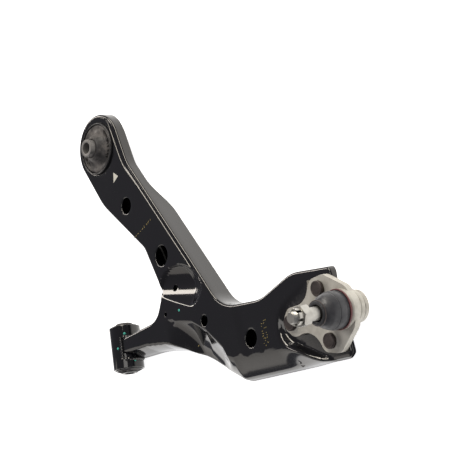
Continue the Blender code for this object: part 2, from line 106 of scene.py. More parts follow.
CAN_RADIUS = 33.0
REAR_AXIS = -10.5                 # height that the rear bush rocks about
SHARP_SHEET, SHARP_PART = 50.0, 40.0
MARK_THICKNESS = 0.12


def world(x, y, z=0.0):
    """Plan and height in millimetres to world metres."""
    return Vector((x - PLAN_CENTRE[0], y - PLAN_CENTRE[1], z + FACE_HEIGHT)) * MM


def smooth(t):
    t = min(1.0, max(0.0, t))
    return t * t * (3 - 2 * t)


# ---- plan geometry --------------------------------------------------------------------------------

def rounded(points, arc_step=2.0):
    """Polygon with a tangent arc at every corner."""
    path = []
    count = len(points)
    for i, (x, y, radius) in enumerate(points):
        corner = Vector((x, y))
        before = Vector(points[i - 1][:2]) - corner
        after = Vector(points[(i + 1) % count][:2]) - corner
        half = before.angle(after) / 2
        reach = radius / math.tan(half)
        middle = (before.normalized() + after.normalized()).normalized()
        centre = corner + middle * (radius / math.sin(half))
        start = corner + before.normalized() * reach - centre
        sweep = start.angle_signed(corner + after.normalized() * reach - centre)
        steps = max(2, math.ceil(abs(sweep) * radius / arc_step))
        for k in range(steps + 1):
            path.append(centre + Matrix.Rotation(-sweep * k / steps, 2) @ start)
    return path


def spaced(path, step):
    """Closed path resampled at an even step."""
    lengths = [0.0]
    closed = path + [path[0]]
    for a, b in zip(closed, closed[1:]):
        lengths.append(lengths[-1] + (b - a).length)
    count = round(lengths[-1] / step)
    result = []
    segment = 0
    for k in range(count):
        target = lengths[-1] * k / count
        while lengths[segment + 1] < target:
            segment += 1
        span = lengths[segment + 1] - lengths[segment]
        result.append(closed[segment].lerp(closed[segment + 1], (target - lengths[segment]) / span))
    return result


def outward(path):
    """Outward normals of a closed path that runs anticlockwise."""
    normals = []
    for i in range(len(path)):
        along = path[(i + 1) % len(path)] - path[i - 1]
        normals.append(Vector((along.y, -along.x)).normalized())
    return normals


def circle(x, y, radius, steps):
    return [Vector((x + radius * math.cos(2 * math.pi * k / steps),
                    y + radius * math.sin(2 * math.pi * k / steps))) for k in range(steps)]


def distance_to(path, point):
    """Distance from a point to an open polyline, positive side to its right."""
    best, side = 1e9, 1.0
    for (ax, ay), (bx, by) in zip(path, path[1:]):
        ux, uy, px, py = bx - ax, by - ay, point.x - ax, point.y - ay
        t = min(1.0, max(0.0, (ux * px + uy * py) / (ux * ux + uy * uy)))
        away = math.hypot(px - ux * t, py - uy * t)
        if away < best:
            best = away
            side = 1.0 if ux * py - uy * px < 0 else -1.0
    return best, side


def inside(path, point):
    """Whether a point lies inside a closed path."""
    hit = False
    for a, b in zip(path, path[1:] + path[:1]):
        if (a.y > point.y) != (b.y > point.y):
            if point.x < a.x + (point.y - a.y) * (b.x - a.x) / (b.y - a.y):
                hit = not hit
    return hit


# ---- form of the pressed arm ----------------------------------------------------------------------

def cup_depth(point):
    """A sloping trough, closed by a round wall at its outboard end and a steep rim elsewhere."""
    turn = math.radians(-CUP_TURN)
    dx, dy = point.x - CUP_CENTRE[0], point.y - CUP_CENTRE[1]
    along = (dx * math.cos(turn) - dy * math.sin(turn)) / CUP_HALF[0]
    side = dx * math.sin(turn) + dy * math.cos(turn)
    reach = math.hypot(along, side / CUP_HALF[1])
    if reach >= 1:
        return 0.0
    bed = CUP_INNER_DEPTH + (CUP_DEPTH - CUP_INNER_DEPTH) * (along + 0.9) / 1.5
    trough = bed - (side - 8.0) ** 2 / 80.0
    width = 0.12 + 0.62 * smooth((along + 0.2) / 0.8)
    bowl = CUP_DEPTH * (1 - reach) / width
    return max(0.0, lesser(trough, bowl, 1.6))


def lesser(a, b, ease):
    """The smaller of two values, eased where they cross."""
    share = min(1.0, max(0.0, 0.5 + 0.5 * (b - a) / ease))
    return b + (a - b) * share - ease * share * (1 - share)


def joint_point(x, y, z):
    """Plan and height of a point given in the ball joint's frame."""
    tilt = math.radians(JOINT_TILT)
    return (BALL[0] + x, BALL[1] + y * math.cos(tilt) - z * math.sin(tilt),
            BALL[2] + y * math.sin(tilt) + z * math.cos(tilt))


def seat_mask(point):
    """1 under the ball joint's flange, falling to 0 outside a rim around it."""
    corners = [Vector(joint_point(x, y, 0)[:2]) for x, y in FLANGE_BOLTS]
    path = corners + [Vector((450, BALL[1] - 12)), Vector((450, BALL[1] + 12)), corners[0]]
    away = 0.0
    if not inside(path[:-1], point):
        away, _ = distance_to(path, point)
    return smooth((SEAT_REACH - away) / SEAT_EASE + 0.5)


def face_height(point):
    """Height of the arm's upper surface at a plan point."""
    edge, _ = distance_to(FRONT_EDGE, point)
    outboard = smooth((point.x - 300) / 80)
    bend = 9.0 + 19.0 * smooth((point.x - 150) / 80) * (1 - outboard)
    front = FRONT_DROP * (1 - 0.45 * outboard) * max(0.0, 1 - edge / bend) ** 1.35
    crest, side = distance_to(CREST, point)
    fall = min(1.0, max(0.0, side * crest / GUSSET_WIDTH))
    gusset = FRONT_DROP * (1 - (1 - fall) ** 1.5) * smooth((point.x - 98) / 45)
    fold = FOLD_DROP * smooth((point.x + 0.18 * (point.y + 253) - 218) / 24)
    plain = lesser(-front, -gusset, 2.0)
    if cup_depth(point) > 0:
        plain = min(plain, -cup_depth(point))
    plain = min(plain, -fold)
    tilt = math.radians(JOINT_TILT)
    seat = BALL[2] + (FLANGE_BOTTOM - GAP + (point.y - BALL[1]) * math.sin(tilt)) / math.cos(tilt)
    return plain + (min(plain, seat) - plain) * seat_mask(point)


def arm_depth(point):
    """How far the arm's underside lies below its top face."""
    leg = 20.0 + 14.0 * smooth((-60 - point.y) / 50)
    return leg - 10.0 * smooth((point.x - 330) / 70) - 8.0 * smooth((point.x - 385) / 20)


def is_formed(point):
    """Whether a plan point lies where the face is pressed into shape."""
    if (point - Vector(CUP_CENTRE)).length < CUP_HALF[0] + 8 or 0 < seat_mask(point) < 1:
        return True
    return distance_to(CREST, point)[0] < 16 or distance_to(FRONT_EDGE, point)[0] < 26


def sheet_points(rim, holes, fine):
    """Rim, hole loops and a lattice between them, with the edges that hold the loops."""
    points = list(rim)
    loops = [list(range(len(rim)))]
    for hole in holes:
        loops.append(list(range(len(points), len(points) + len(hole))))
        points += hole
    edges = [(a, b) for loop in loops for a, b in zip(loop, loop[1:] + loop[:1])]
    near = KDTree(len(points))
    for i, p in enumerate(points):
        near.insert((p.x, p.y, 0), i)
    near.balance()
    west, east = min(p.x for p in rim), max(p.x for p in rim)
    south, north = min(p.y for p in rim), max(p.y for p in rim)
    for i in range(int((east - west) / FINE_LATTICE)):
        for j in range(int((north - south) / FINE_LATTICE)):
            if not fine and (i % COARSE_RATIO or j % COARSE_RATIO):
                continue
            point = Vector((west + (i + 0.5) * FINE_LATTICE, south + (j + 0.5) * FINE_LATTICE))
            if (i % COARSE_RATIO or j % COARSE_RATIO) and not is_formed(point):
                continue
            if near.find((point.x, point.y, 0))[2] > FINE_LATTICE * 0.7 and inside(rim, point):
                points.append(point)
    return points, loops, edges


def pressed_sheet(name, outline, rows, surface, holes, direction):
    """A pressed sheet with a rolled edge, walls, and lips turned into its holes.

    rows lists how far each row of the edge lies inside the outline and its height there, both as
    functions of a plan point, from the face's rim outwards. holes are (x, y, radius, lip), the lip
    being the width of the rounding around the hole.
    """
    outer = spaced(rounded(outline), RIM_STEP)
    normals = outward(outer)
    rim = [p - n * rows[0][0](p) for p, n in zip(outer, normals)]
    loops = [circle(x, y, r + lip, max(16, int(r * 2.4))) for x, y, r, lip in holes]
    points, index, edges = sheet_points(rim, loops, direction > 0)
    verts, _, faces, _, _, _ = delaunay_2d_cdt(points, edges, [], 1, 1e-4)
    bm = bmesh.new()
    made = [bm.verts.new(world(v.x, v.y, surface(v))) for v in verts]
    for face in faces:
        middle = sum((verts[i] for i in face), Vector((0, 0))) / len(face)
        if not any((middle - Vector(h[:2])).length < h[2] + h[3] - 0.01 and inside(loop, middle)
                   for h, loop in zip(holes, loops)):
            bm.faces.new([made[i] for i in face])
    row = made[:len(rim)]
    for within, height in rows[1:]:
        fresh = []
        for p, n in zip(outer, normals):
            q = p - n * within(p)
            fresh.append(bm.verts.new(world(q.x, q.y, height(q))))
        bridge(bm, row, fresh)
        row = fresh
    for (x, y, radius, lip), loop, ids in zip(holes, loops, index[1:]):
        row = [made[i] for i in ids]
        for k in range(1, 5):
            turn = math.radians(22.5 * k)
            drop = direction * lip * (1 - math.cos(turn))
            fresh = []
            for p in loop:
                q = Vector((x, y)) + (p - Vector((x, y))) * (1 - lip * math.sin(turn) / (radius + lip))
                fresh.append(bm.verts.new(world(q.x, q.y, surface(p) - drop)))
            bridge(bm, row, fresh)
            row = fresh
    bmesh.ops.delete(bm, geom=[v for v in bm.verts if not v.link_faces], context="VERTS")
    bmesh.ops.recalc_face_normals(bm, faces=bm.faces)
    if sum(f.normal.z * f.calc_area() for f in bm.faces) * direction < 0:
        bmesh.ops.reverse_faces(bm, faces=bm.faces)
    obj = piece(name, bm, None)
    solid = obj.modifiers.new("sheet", "SOLIDIFY")
    solid.thickness = SHEET * MM
    solid.offset = -1
    return obj


def bridge(bm, row, fresh):
    """Faces between two closed rows of vertices."""
    for i in range(len(row)):
        j = (i + 1) % len(row)
        bm.faces.new((row[i], fresh[i], fresh[j], row[j]))


# ---- pieces ---------------------------------------------------------------------------------------

def piece(name, bm, material, location=(0, 0, 0), rotation=(0, 0, 0), sharp=38.0):
    mesh = bpy.data.meshes.new(name)
    bm.to_mesh(mesh)
    bm.free()
    obj = bpy.data.objects.new(name, mesh)
    obj.location = location
    obj.rotation_euler = rotation
    bpy.context.scene.collection.objects.link(obj)
    mesh.shade_smooth()
    mesh.set_sharp_from_angle(angle=math.radians(sharp))
    if material:
        mesh.materials.append(material)
    return obj


def turned(name, profile, material, steps=64, location=(0, 0, 0), rotation=(0, 0, 0), sharp=38.0):
    """Solid of revolution about local Z from a closed profile of (radius, height) points."""
    bm = bmesh.new()
    verts = [bm.verts.new((r * MM, 0, z * MM)) for r, z in profile]
    edges = [bm.edges.new((a, b)) for a, b in zip(verts, verts[1:] + verts[:1])
             if a.co.x > 0 or b.co.x > 0]
    bmesh.ops.spin(bm, geom=verts + edges, cent=(0, 0, 0), axis=(0, 0, 1),
                   angle=2 * math.pi, steps=steps, use_merge=True)
    bmesh.ops.remove_doubles(bm, verts=bm.verts, dist=0.00001)
    bmesh.ops.recalc_face_normals(bm, faces=bm.faces)
    return piece(name, bm, material, location, rotation, sharp)


def eased(corners, ease=0.5, steps=3):
    """Closed (radius, height) profile with every corner off the axis rounded a little."""
    path = []
    for i, corner in enumerate(corners):
        corner = Vector(corner)
        before = Vector(corners[i - 1]) - corner
        after = Vector(corners[(i + 1) % len(corners)]) - corner
        if corner.x < 0.01:
            path.append(corner)
            continue
        cut = min(ease, before.length * 0.45, after.length * 0.45)
        a, b = corner + before.normalized() * cut, corner + after.normalized() * cut
        for k in range(steps + 1):
            t = k / steps
            path.append(a.lerp(corner, t).lerp(corner.lerp(b, t), t))
    return [(p.x, p.y) for p in path]


def hexagon(radius):
    return [(radius * math.cos(math.radians(60 * k)), radius * math.sin(math.radians(60 * k)))
            for k in range(6)]


def prism(name, path, bottom, top, material, location=(0, 0, 0), rotation=(0, 0, 0)):
    bm = bmesh.new()
    verts = [bm.verts.new((p[0] * MM, p[1] * MM, bottom * MM)) for p in path]
    face = bm.faces.new(verts)
    grown = bmesh.ops.extrude_face_region(bm, geom=[face])
    lifted = [g for g in grown["geom"] if isinstance(g, bmesh.types.BMVert)]
    bmesh.ops.translate(bm, verts=lifted, vec=(0, 0, (top - bottom) * MM))
    bmesh.ops.recalc_face_normals(bm, faces=bm.faces)
    return piece(name, bm, material, location, rotation)


def combine(obj, other, operation="DIFFERENCE"):
    """Boolean with a helper solid, applied at once."""
    step = obj.modifiers.new("cut", "BOOLEAN")
    step.operation = operation
    step.solver = "EXACT"
    step.object = other
    apply_modifiers(obj)
    bpy.data.objects.remove(other, do_unlink=True)


def apply_modifiers(obj):
    bpy.context.view_layer.update()
    graph = bpy.context.evaluated_depsgraph_get()
    mesh = bpy.data.meshes.new_from_object(obj.evaluated_get(graph), depsgraph=graph)
    obj.modifiers.clear()
    old = obj.data
    obj.data = mesh
    bpy.data.meshes.remove(old)


def shade(obj, sharp):
    """Smooth shading, apart from edges sharper than an angle in degrees."""
    obj.data.shade_smooth()
    obj.data.set_sharp_from_angle(angle=math.radians(sharp))


def soften(obj, width, segments=3, angle=30.0):
    """Rounded edges, and normals that keep the flats flat."""
    bevel = obj.modifiers.new("edges", "BEVEL")
    bevel.width = width * MM
    bevel.segments = segments
    bevel.limit_method = "ANGLE"
    bevel.angle_limit = math.radians(angle)
    apply_modifiers(obj)
    shade(obj, SHARP_PART)


def placed(obj, body, slot, *nodes):
    """Ride a piece on its body, and hide the CAD nodes it stands for."""
    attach(obj, body)
    if nodes:
        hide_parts(*nodes)
    return obj


# ---- materials ------------------------------------------------------------------------------------

class Finish:
    """A Principled material with layers of procedural detail in object space."""

    def __init__(self, name, colour, roughness, metallic=0.0, specular=0.5, coat=0.0):
        self.material = bpy.data.materials.new(name)
        self.material.use_nodes = True
        self.nodes = self.material.node_tree.nodes
        self.links = self.material.node_tree.links
        self.shader = self.nodes["Principled BSDF"]
        self.set("Base Color", (*colour, 1))
        self.set("Roughness", roughness)
        self.set("Metallic", metallic)
        self.set("Specular IOR Level", specular)
        self.set("Coat Weight", coat)
        self.set("Coat Roughness", 0.05)
        self.coords = self.nodes.new("ShaderNodeTexCoord").outputs["Object"]
        self.normal = None

    def set(self, socket, value):
        self.shader.inputs[socket].default_value = value

    def noise(self, scale, detail=4.0, rough=0.55, stretch=(1, 1, 1)):
        mapping = self.nodes.new("ShaderNodeMapping")
        mapping.inputs["Scale"].default_value = stretch
        self.links.new(self.coords, mapping.inputs["Vector"])
        texture = self.nodes.new("ShaderNodeTexNoise")
        texture.inputs["Scale"].default_value = scale
        texture.inputs["Detail"].default_value = detail
        texture.inputs["Roughness"].default_value = rough
        self.links.new(mapping.outputs["Vector"], texture.inputs["Vector"])
        return texture.outputs["Fac"]

    def ranged(self, value, low, high, new_low, new_high):
        node = self.nodes.new("ShaderNodeMapRange")
        node.interpolation_type = "SMOOTHSTEP"
        sockets = ("From Min", "From Max", "To Min", "To Max")
        for socket, number in zip(sockets, (low, high, new_low, new_high)):
            node.inputs[socket].default_value = number
        self.links.new(value, node.inputs["Value"])
        return node.outputs["Result"]

    def colour_mix(self, factor, first, second):
        node = self.nodes.new("ShaderNodeMix")
        node.data_type = "RGBA"
        self.links.new(factor, node.inputs["Factor"])
        for socket, value in ((node.inputs["A"], first), (node.inputs["B"], second)):
            if isinstance(value, tuple):
                socket.default_value = (*value, 1)
            else:
                self.links.new(value, socket)
        return node.outputs["Result"]

    def tint(self, colour):
        self.links.new(colour, self.shader.inputs["Base Color"])

    def rough(self, value):
        self.links.new(value, self.shader.inputs["Roughness"])

    def bump(self, height, strength, distance):
        node = self.nodes.new("ShaderNodeBump")
        node.inputs["Strength"].default_value = strength
        node.inputs["Distance"].default_value = distance
        self.links.new(height, node.inputs["Height"])
        if self.normal:
            self.links.new(self.normal, node.inputs["Normal"])
        self.normal = node.outputs["Normal"]
        self.links.new(self.normal, self.shader.inputs["Normal"])


def black_paint(name="gloss_black_paint", roughness=(0.07, 0.12)):
    """Electrocoat: deep gloss with orange peel, a faint haze and a few settled specks."""
    paint = Finish(name, (0.005, 0.005, 0.006), roughness[0], coat=0.2)
    paint.set("Specular Tint", (1.0, 0.96, 0.9, 1))
    haze = paint.noise(14, 5)
    paint.rough(paint.ranged(haze, 0.3, 0.75, *roughness))
    specks = paint.ranged(paint.noise(900, 2), 0.72, 0.78, 0, 1)
    cloud = paint.colour_mix(paint.noise(9, 3), (0.0045, 0.0045, 0.006), (0.008, 0.008, 0.009))
    paint.tint(paint.colour_mix(specks, cloud, (0.05, 0.048, 0.045)))
    paint.bump(paint.noise(190, 2), 0.018, 0.0004)
    paint.bump(paint.noise(1800, 2), 0.03, 0.0001)
    return paint.material


def rubber(name, colour, dust, roughness=0.62):
    """Moulded rubber: mottled bloom, fine grain and soft low spots."""
    skin = Finish(name, colour, roughness, specular=0.4)
    bloom = skin.ranged(skin.noise(48, 7, 0.66), 0.42, 0.68, 0, 1)
    skin.tint(skin.colour_mix(bloom, colour, dust))
    skin.rough(skin.ranged(skin.noise(120, 4), 0.3, 0.7, roughness - 0.12, roughness + 0.16))
    skin.bump(skin.noise(420, 5), 0.30, 0.0005)
    skin.bump(skin.noise(2600, 3), 0.25, 0.0001)
    return skin.material


def steel(name, light, dark, roughness, grain=(1, 1, 1), scale=240, pits=0.15, metallic=1.0):
    """Bare or plated steel: tool grain, tarnish clouds and small pits."""
    metal = Finish(name, light, roughness[0], metallic=metallic)
    cloud = metal.ranged(metal.noise(38, 6, 0.62), 0.35, 0.72, 0, 1)
    metal.tint(metal.colour_mix(cloud, light, dark))
    metal.rough(metal.ranged(metal.noise(scale, 4, 0.6, grain), 0.3, 0.72, *roughness))
    metal.bump(metal.noise(scale * 3, 4, 0.6, grain), 0.22, 0.00012)
    metal.bump(metal.noise(150, 3), pits, 0.0006)
    return metal.material


def painted_clip(name, colour):
    clip = Finish(name, colour, 0.4)
    clip.tint(clip.colour_mix(clip.noise(300, 4), colour, tuple(0.45 * c for c in colour)))
    clip.rough(clip.ranged(clip.noise(500, 3), 0.3, 0.7, 0.3, 0.5))
    clip.bump(clip.noise(900, 3), 0.2, 0.0001)
    return clip.material


def paint_mark(name, colour):
    mark = Finish(name, colour, 0.45, specular=0.4)
    mark.tint(mark.colour_mix(mark.noise(1500, 3), colour, tuple(0.6 * c for c in colour)))
    mark.bump(mark.noise(1200, 2), 0.3, 0.0001)
    return mark.material


PAINT = black_paint()
CAN_PAINT = black_paint("satin_black_steel", (0.28, 0.42))
BUSH_RUBBER = rubber("bush_rubber", (0.020, 0.018, 0.018), (0.13, 0.118, 0.108), 0.6)
BOOT_RUBBER = rubber("boot_rubber", (0.018, 0.018, 0.021), (0.034, 0.034, 0.037), 0.42)
ZINC = steel("dull_zinc", (0.20, 0.19, 0.18), (0.11, 0.105, 0.10), (0.42, 0.58), metallic=0.5)
FORGED = steel("forged_steel", (0.47, 0.45, 0.40), (0.30, 0.28, 0.24), (0.5, 0.66), pits=0.35,
               metallic=0.35)
MACHINED = steel("machined_steel", (0.40, 0.39, 0.36), (0.24, 0.23, 0.21), (0.34, 0.48), (1, 1, 12))
DARK_STEEL = steel("phosphated_steel", (0.085, 0.072, 0.068), (0.045, 0.038, 0.036), (0.42, 0.6))
BLUE_ZINC = steel("blue_zinc", (0.42, 0.48, 0.60), (0.25, 0.28, 0.36), (0.28, 0.42))
RED_CLIP = painted_clip("red_clip", (0.11, 0.018, 0.018))
SEAT_PLASTIC = rubber("seat_plastic", (0.55, 0.53, 0.47), (0.62, 0.60, 0.54), 0.5)
TEAL_MARK = paint_mark("teal_mark", (0.05, 0.45, 0.34))
OCHRE_MARK = paint_mark("ochre_mark", (0.30, 0.23, 0.07))
# pale tone used only for a painted highlight: the glint off a small facet near the rear bush
PAINTED_HIGHLIGHT = paint_mark("painted_highlight_tone", (0.62, 0.60, 0.52))


# ---- welded arm -----------------------------------------------------------------------------------

def front_tube_cutter():
    radius = TUBE_RADIUS + GAP
    return turned("tube_cutter", [(0, -40), (radius, -40), (radius, 40), (0, 40)], None, 96,
                  world(*FRONT_BUSH), (math.pi / 2, 0, 0))


def upper_seam(point):
    """Height of the upper shell's lower edge."""
    return min(SEAM_LIFT - arm_depth(point), face_height(point) - EDGE - 2.0)


def ledge(point):
    """Width of the pressed ledge along the rear leg's outboard edge, 0 away from it."""
    along = smooth((point.y + 245) / 60) * smooth((38 - point.y) / 18)
    outboard = smooth((point.x - (25 - 0.62 * (point.y + 20))) / 22)
    return (LEDGE_WIDTH + 3.2 * smooth((point.y + 75) / 70)) * along * outboard


def upper_shell():
    holes = [(0, 0, CAN_RADIUS + GAP, 0.8)]
    for x, y in FLANGE_BOLTS:
        bolt_x, bolt_y, _ = joint_point(x, y, FLANGE_BOTTOM - SHEET / 2)
        holes.append((bolt_x, bolt_y, 5.6, 0.4))
    holes += [(x, y, r, 1.4) for x, y, r in FACE_HOLES]
    holes += [(x, y, r, 0.5) for x, y, r in DRAIN_HOLES]
    base = DRAFT + EDGE
    rows = [(lambda p: base + 1.0 + ledge(p), face_height)]
    for share in (0.0, 0.33, 0.67, 1.0):
        def step_at(p, share=share):
            return base + 0.8 + ledge(p) - (0.2 + 0.4 * min(1.6, ledge(p))) * share

        def step_height(q, share=share):
            drop = LEDGE_DROP * min(1.0, ledge(q) / LEDGE_WIDTH)
            return face_height(q) - drop * smooth(0.08 + share * 0.92)

        rows.append((step_at, step_height))

    def shoulder(q):
        return face_height(q) - LEDGE_DROP * min(1.0, ledge(q) / LEDGE_WIDTH)

    rows.append((lambda p: base, shoulder))
    for k in range(1, 7):
        turn = math.radians(84 * k / 6)
        out, drop = EDGE * math.sin(turn), EDGE * (1 - math.cos(turn))
        rows.append((lambda p, out=out: base - out, lambda q, drop=drop: shoulder(q) - drop))
    for share in (0.25, 0.6, 0.97, 1.0):
        def wall(q, share=share):
            top = shoulder(q) - EDGE * 0.9
            return top + (upper_seam(q) - top) * share

        rows.append((lambda p, share=share: DRAFT * (1 - share), wall))
    shell = pressed_sheet("upper_arm_shell", UPPER_OUTLINE, rows, face_height, holes, 1)
    shell.data.materials.append(PAINT)
    apply_modifiers(shell)
    combine(shell, front_tube_cutter())
    combine(shell, turned("notch", [(0, -40), (24, -40), (24, 12), (0, 12)], None, 64,
                          world(BALL[0], BALL[1] + 1.5)))
    shade(shell, SHARP_SHEET)
    placed(shell, "arm", "upper_shell", "upper_shell")


def lower_shell():
    nut_x, nut_y, _ = joint_point(*FLANGE_BOLTS[1], FLANGE_BOTTOM - 12)
    holes = [(0, 0, CAN_RADIUS + GAP, 0.4), (nut_x, nut_y, 14.0, 1.0)]

    def underside(point):
        return -arm_depth(point)

    inset = SHEET + GAP + DRAFT
    rows = [(lambda p: inset + TRAY_EDGE, underside)]
    for k in range(1, 6):
        turn = math.radians(18 * k)
        out, rise = TRAY_EDGE * math.sin(turn), TRAY_EDGE * (1 - math.cos(turn))
        rows.append((lambda p, out=out: inset + TRAY_EDGE - out,
                     lambda q, rise=rise: underside(q) + rise))

    def lap(point):
        closed_end = smooth((point.x - 338) / 14)
        lapped = SEAM_LIFT + SEAM_LAP - arm_depth(point)
        under = face_height(point) - SHEET - 5.8
        return min(under, lapped * (1 - closed_end) + under * closed_end)

    rows.append((lambda p: inset, lap))
    shell = pressed_sheet("lower_arm_tray", TRAY_OUTLINE, rows, underside, holes, -1)
    shell.data.materials.append(PAINT)
    apply_modifiers(shell)
    combine(shell, front_tube_cutter())
    shade(shell, SHARP_SHEET)
    placed(shell, "arm", "lower_shell", "lower_shell")


def bead(name, path, radius, material):
    """A weld bead: a rippled open tube along a path of world points."""
    curve = bpy.data.curves.new(name, "CURVE")
    curve.dimensions = "3D"
    curve.bevel_depth = radius * MM
    curve.bevel_resolution = 3
    curve.use_fill_caps = True
    spline = curve.splines.new("POLY")
    spline.points.add(len(path) - 1)
    for i, (point, p) in enumerate(zip(spline.points, path)):
        point.co = (*p, 1)
        point.radius = 1.0 + 0.16 * math.sin(i * 1.9)
    obj = bpy.data.objects.new(name, curve)
    bpy.context.scene.collection.objects.link(obj)
    bpy.context.view_layer.update()
    graph = bpy.context.evaluated_depsgraph_get()
    mesh = bpy.data.meshes.new_from_object(obj.evaluated_get(graph), depsgraph=graph)
    bpy.data.objects.remove(obj, do_unlink=True)
    made = bpy.data.objects.new(name, mesh)
    bpy.context.scene.collection.objects.link(made)
    mesh.materials.clear()
    mesh.materials.append(material)
    mesh.shade_smooth()
    return made


# ---- bushes ---------------------------------------------------------------------------------------

def rear_bush():
    place = {"location": world(0, 0, 0)}
    can = [(31, -22), (CAN_RADIUS, -22), (CAN_RADIUS, 1.4), (32.4, 2.2), (31, 1.6)]
    placed(turned("rear_can", eased(can, 0.4), CAN_PAINT, 96, **place), "arm", "rear_bush_outer_can",
           "rear_bush_outer_can")
    profile = [(14.2, -23), (20, -21), (30.6, -19), (30.6, 0.4), (29.0, 1.1), (24.5, 0.4), (20, 1.4),
               (16.8, 5.0), (14.2, 9.6), (11.5, 10.8), (12.6, 8.0), (14.0, 4.5), (14.0, 1.0),
               (11.7, -8.0), (11.7, -13.0)]
    block = turned("rear_rubber", eased(profile, 1.6, 4), BUSH_RUBBER, 96, **place)
    for side, half, parts in ((0, 13, (-30, 2, 31)), (180, 19, (-22, 22))):
        for part in parts:
            path = []
            for k in range(9):
                angle = math.radians(side + part - half + 2 * half * k / 8)
                path.append((28.0 * math.cos(angle), 28.0 * math.sin(angle)))
            for k in range(9):
                angle = math.radians(side + part + half - 2 * half * k / 8)
                path.append(((24.6 - (k % 3)) * math.cos(angle), (24.6 - (k % 3)) * math.sin(angle)))
            combine(block, prism("void", path, -40, 20, None, **place))
    soften(block, 0.6)
    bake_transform(block)
    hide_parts("rear_bush_rubber")
    sleeve = [(7.2, -27.5), (11, -27.5), (11, 27.5), (7.2, 27.5)]
    placed(turned("rear_sleeve", eased(sleeve, 0.4), ZINC, 64, world(0, 0, REAR_AXIS)), "rear_sleeve",
           "rear_bush_inner_sleeve", "rear_bush_inner_sleeve")


def front_bush():
    x, y, z = FRONT_BUSH
    place = {"location": world(x, y, z), "rotation": (math.pi / 2, 0, 0)}
    tube = [(16.9, -27), (TUBE_RADIUS, -27), (TUBE_RADIUS, 27), (16.9, 27)]
    placed(turned("front_tube", eased(tube, 0.9), PAINT, 96, **place), "arm", "front_bush_housing",
           "front_bush_housing")
    can = [(15, -28.2), (16.6, -28.2), (16.6, 28.2), (15, 28.2)]
    placed(turned("front_can", eased(can, 0.5), CAN_PAINT, 96, **place), "arm", "front_bush_outer_can",
           "front_bush_outer_can")
    profile = [(10.8, -29.6), (13.2, -29.6), (14.7, -27), (14.7, 27), (13.2, 29.6), (10.8, 29.6)]
    placed(turned("front_rubber", eased(profile, 0.8), BUSH_RUBBER, 96, **place), "arm",
           "front_bush_rubber", "front_bush_rubber")
    sleeve = [(6.1, -31.5), (10.5, -31.5), (10.5, 31.5), (6.1, 31.5)]
    placed(turned("front_sleeve", eased(sleeve, 0.8), CAN_PAINT, 64, **place), "front_sleeve",
           "front_bush_inner_sleeve", "front_bush_inner_sleeve")
    for side_y, name in ((-245.6, "rear"), (-273.4, "forward")):
        path = []
        for k in range(26):
            height = -1.5 - 25.0 * k / 25
            reach = math.sqrt(20.4 ** 2 - (height - z) ** 2)
            path.append(world(x + reach + 0.4, side_y, height))
        placed(bead(f"{name}_tube_weld", path, 2.2, PAINT), "arm", "front_bush_housing")
    top = [world(2.2, -246 - 27.0 * k / 24, 0.2) for k in range(25)]
    placed(bead("upper_tube_weld", top, 2.0, PAINT), "arm", "front_bush_housing")


# ---- ball joint -----------------------------------------------------------------------------------

def joint_place(x=0.0, y=0.0, z=0.0):
    return {"location": world(*joint_point(x, y, z)), "rotation": (math.radians(JOINT_TILT), 0, 0)}


def housing():
    place = joint_place()
    (ax, ay), (bx, by), (cx, cy) = FLANGE_BOLTS
    bore_radius = BOLT_SHANK + 0.4
    corners = [
        (16, 21, 17), (ax + 10, ay + 14, 13), (ax - 17, ay + 12.5, 12), (ax - 20, by + 16, 26),
        (bx - 2, by + 17, 12), (bx - 19, by, 12), (bx - 2, by - 17, 12), (cx - 22, by - 14, 26),
        (cx - 16, cy - 10, 12), (cx + 10, cy - 17, 13), (16, -21, 17),
    ]
    body = prism("joint_housing", rounded(corners, 1.5), FLANGE_BOTTOM, FLANGE_TOP, FORGED, **place)
    barrel = [(0, -25), (17.4, -25), (18.4, -24), (18.4, -19.5), (17.8, -19), (17.8, -18), (19.8, -17),
              (19.8, -12), (19.2, -11.4), (19.2, -10.6), (22.5, -8), (22.5, 1), (21.4, 3.2), (19.7, 4.2),
              (19.7, 8), (0, 8)]
    combine(body, turned("barrel", eased(barrel, 0.5), FORGED, 96, **place), "UNION")
    cavity = [(0, -26), (16.3, -26), (16.3, 4), (12.6, 6.2), (15.5, 9), (0, 9)]
    combine(body, turned("cavity", cavity, FORGED, 64, **place))
    boss = [(0, FLANGE_TOP - 2), (11.4, FLANGE_TOP - 2), (11.4, FLANGE_TOP + 0.2),
            (10.6, FLANGE_TOP + 0.6), (0, FLANGE_TOP + 0.6)]
    bore = [(0, -30), (bore_radius, -30), (bore_radius, 10), (0, 10)]
    for x, y in FLANGE_BOLTS:
        if y < 0 or x < -50:
            combine(body, turned("boss", boss, FORGED, 64, **joint_place(x, y)), "UNION")
        combine(body, turned("bore", bore, FORGED, 32, **joint_place(x, y)))
    soften(body, 1.0, 3, 35)
    placed(body, "arm", "ball_joint_housing", "ball_joint_housing")


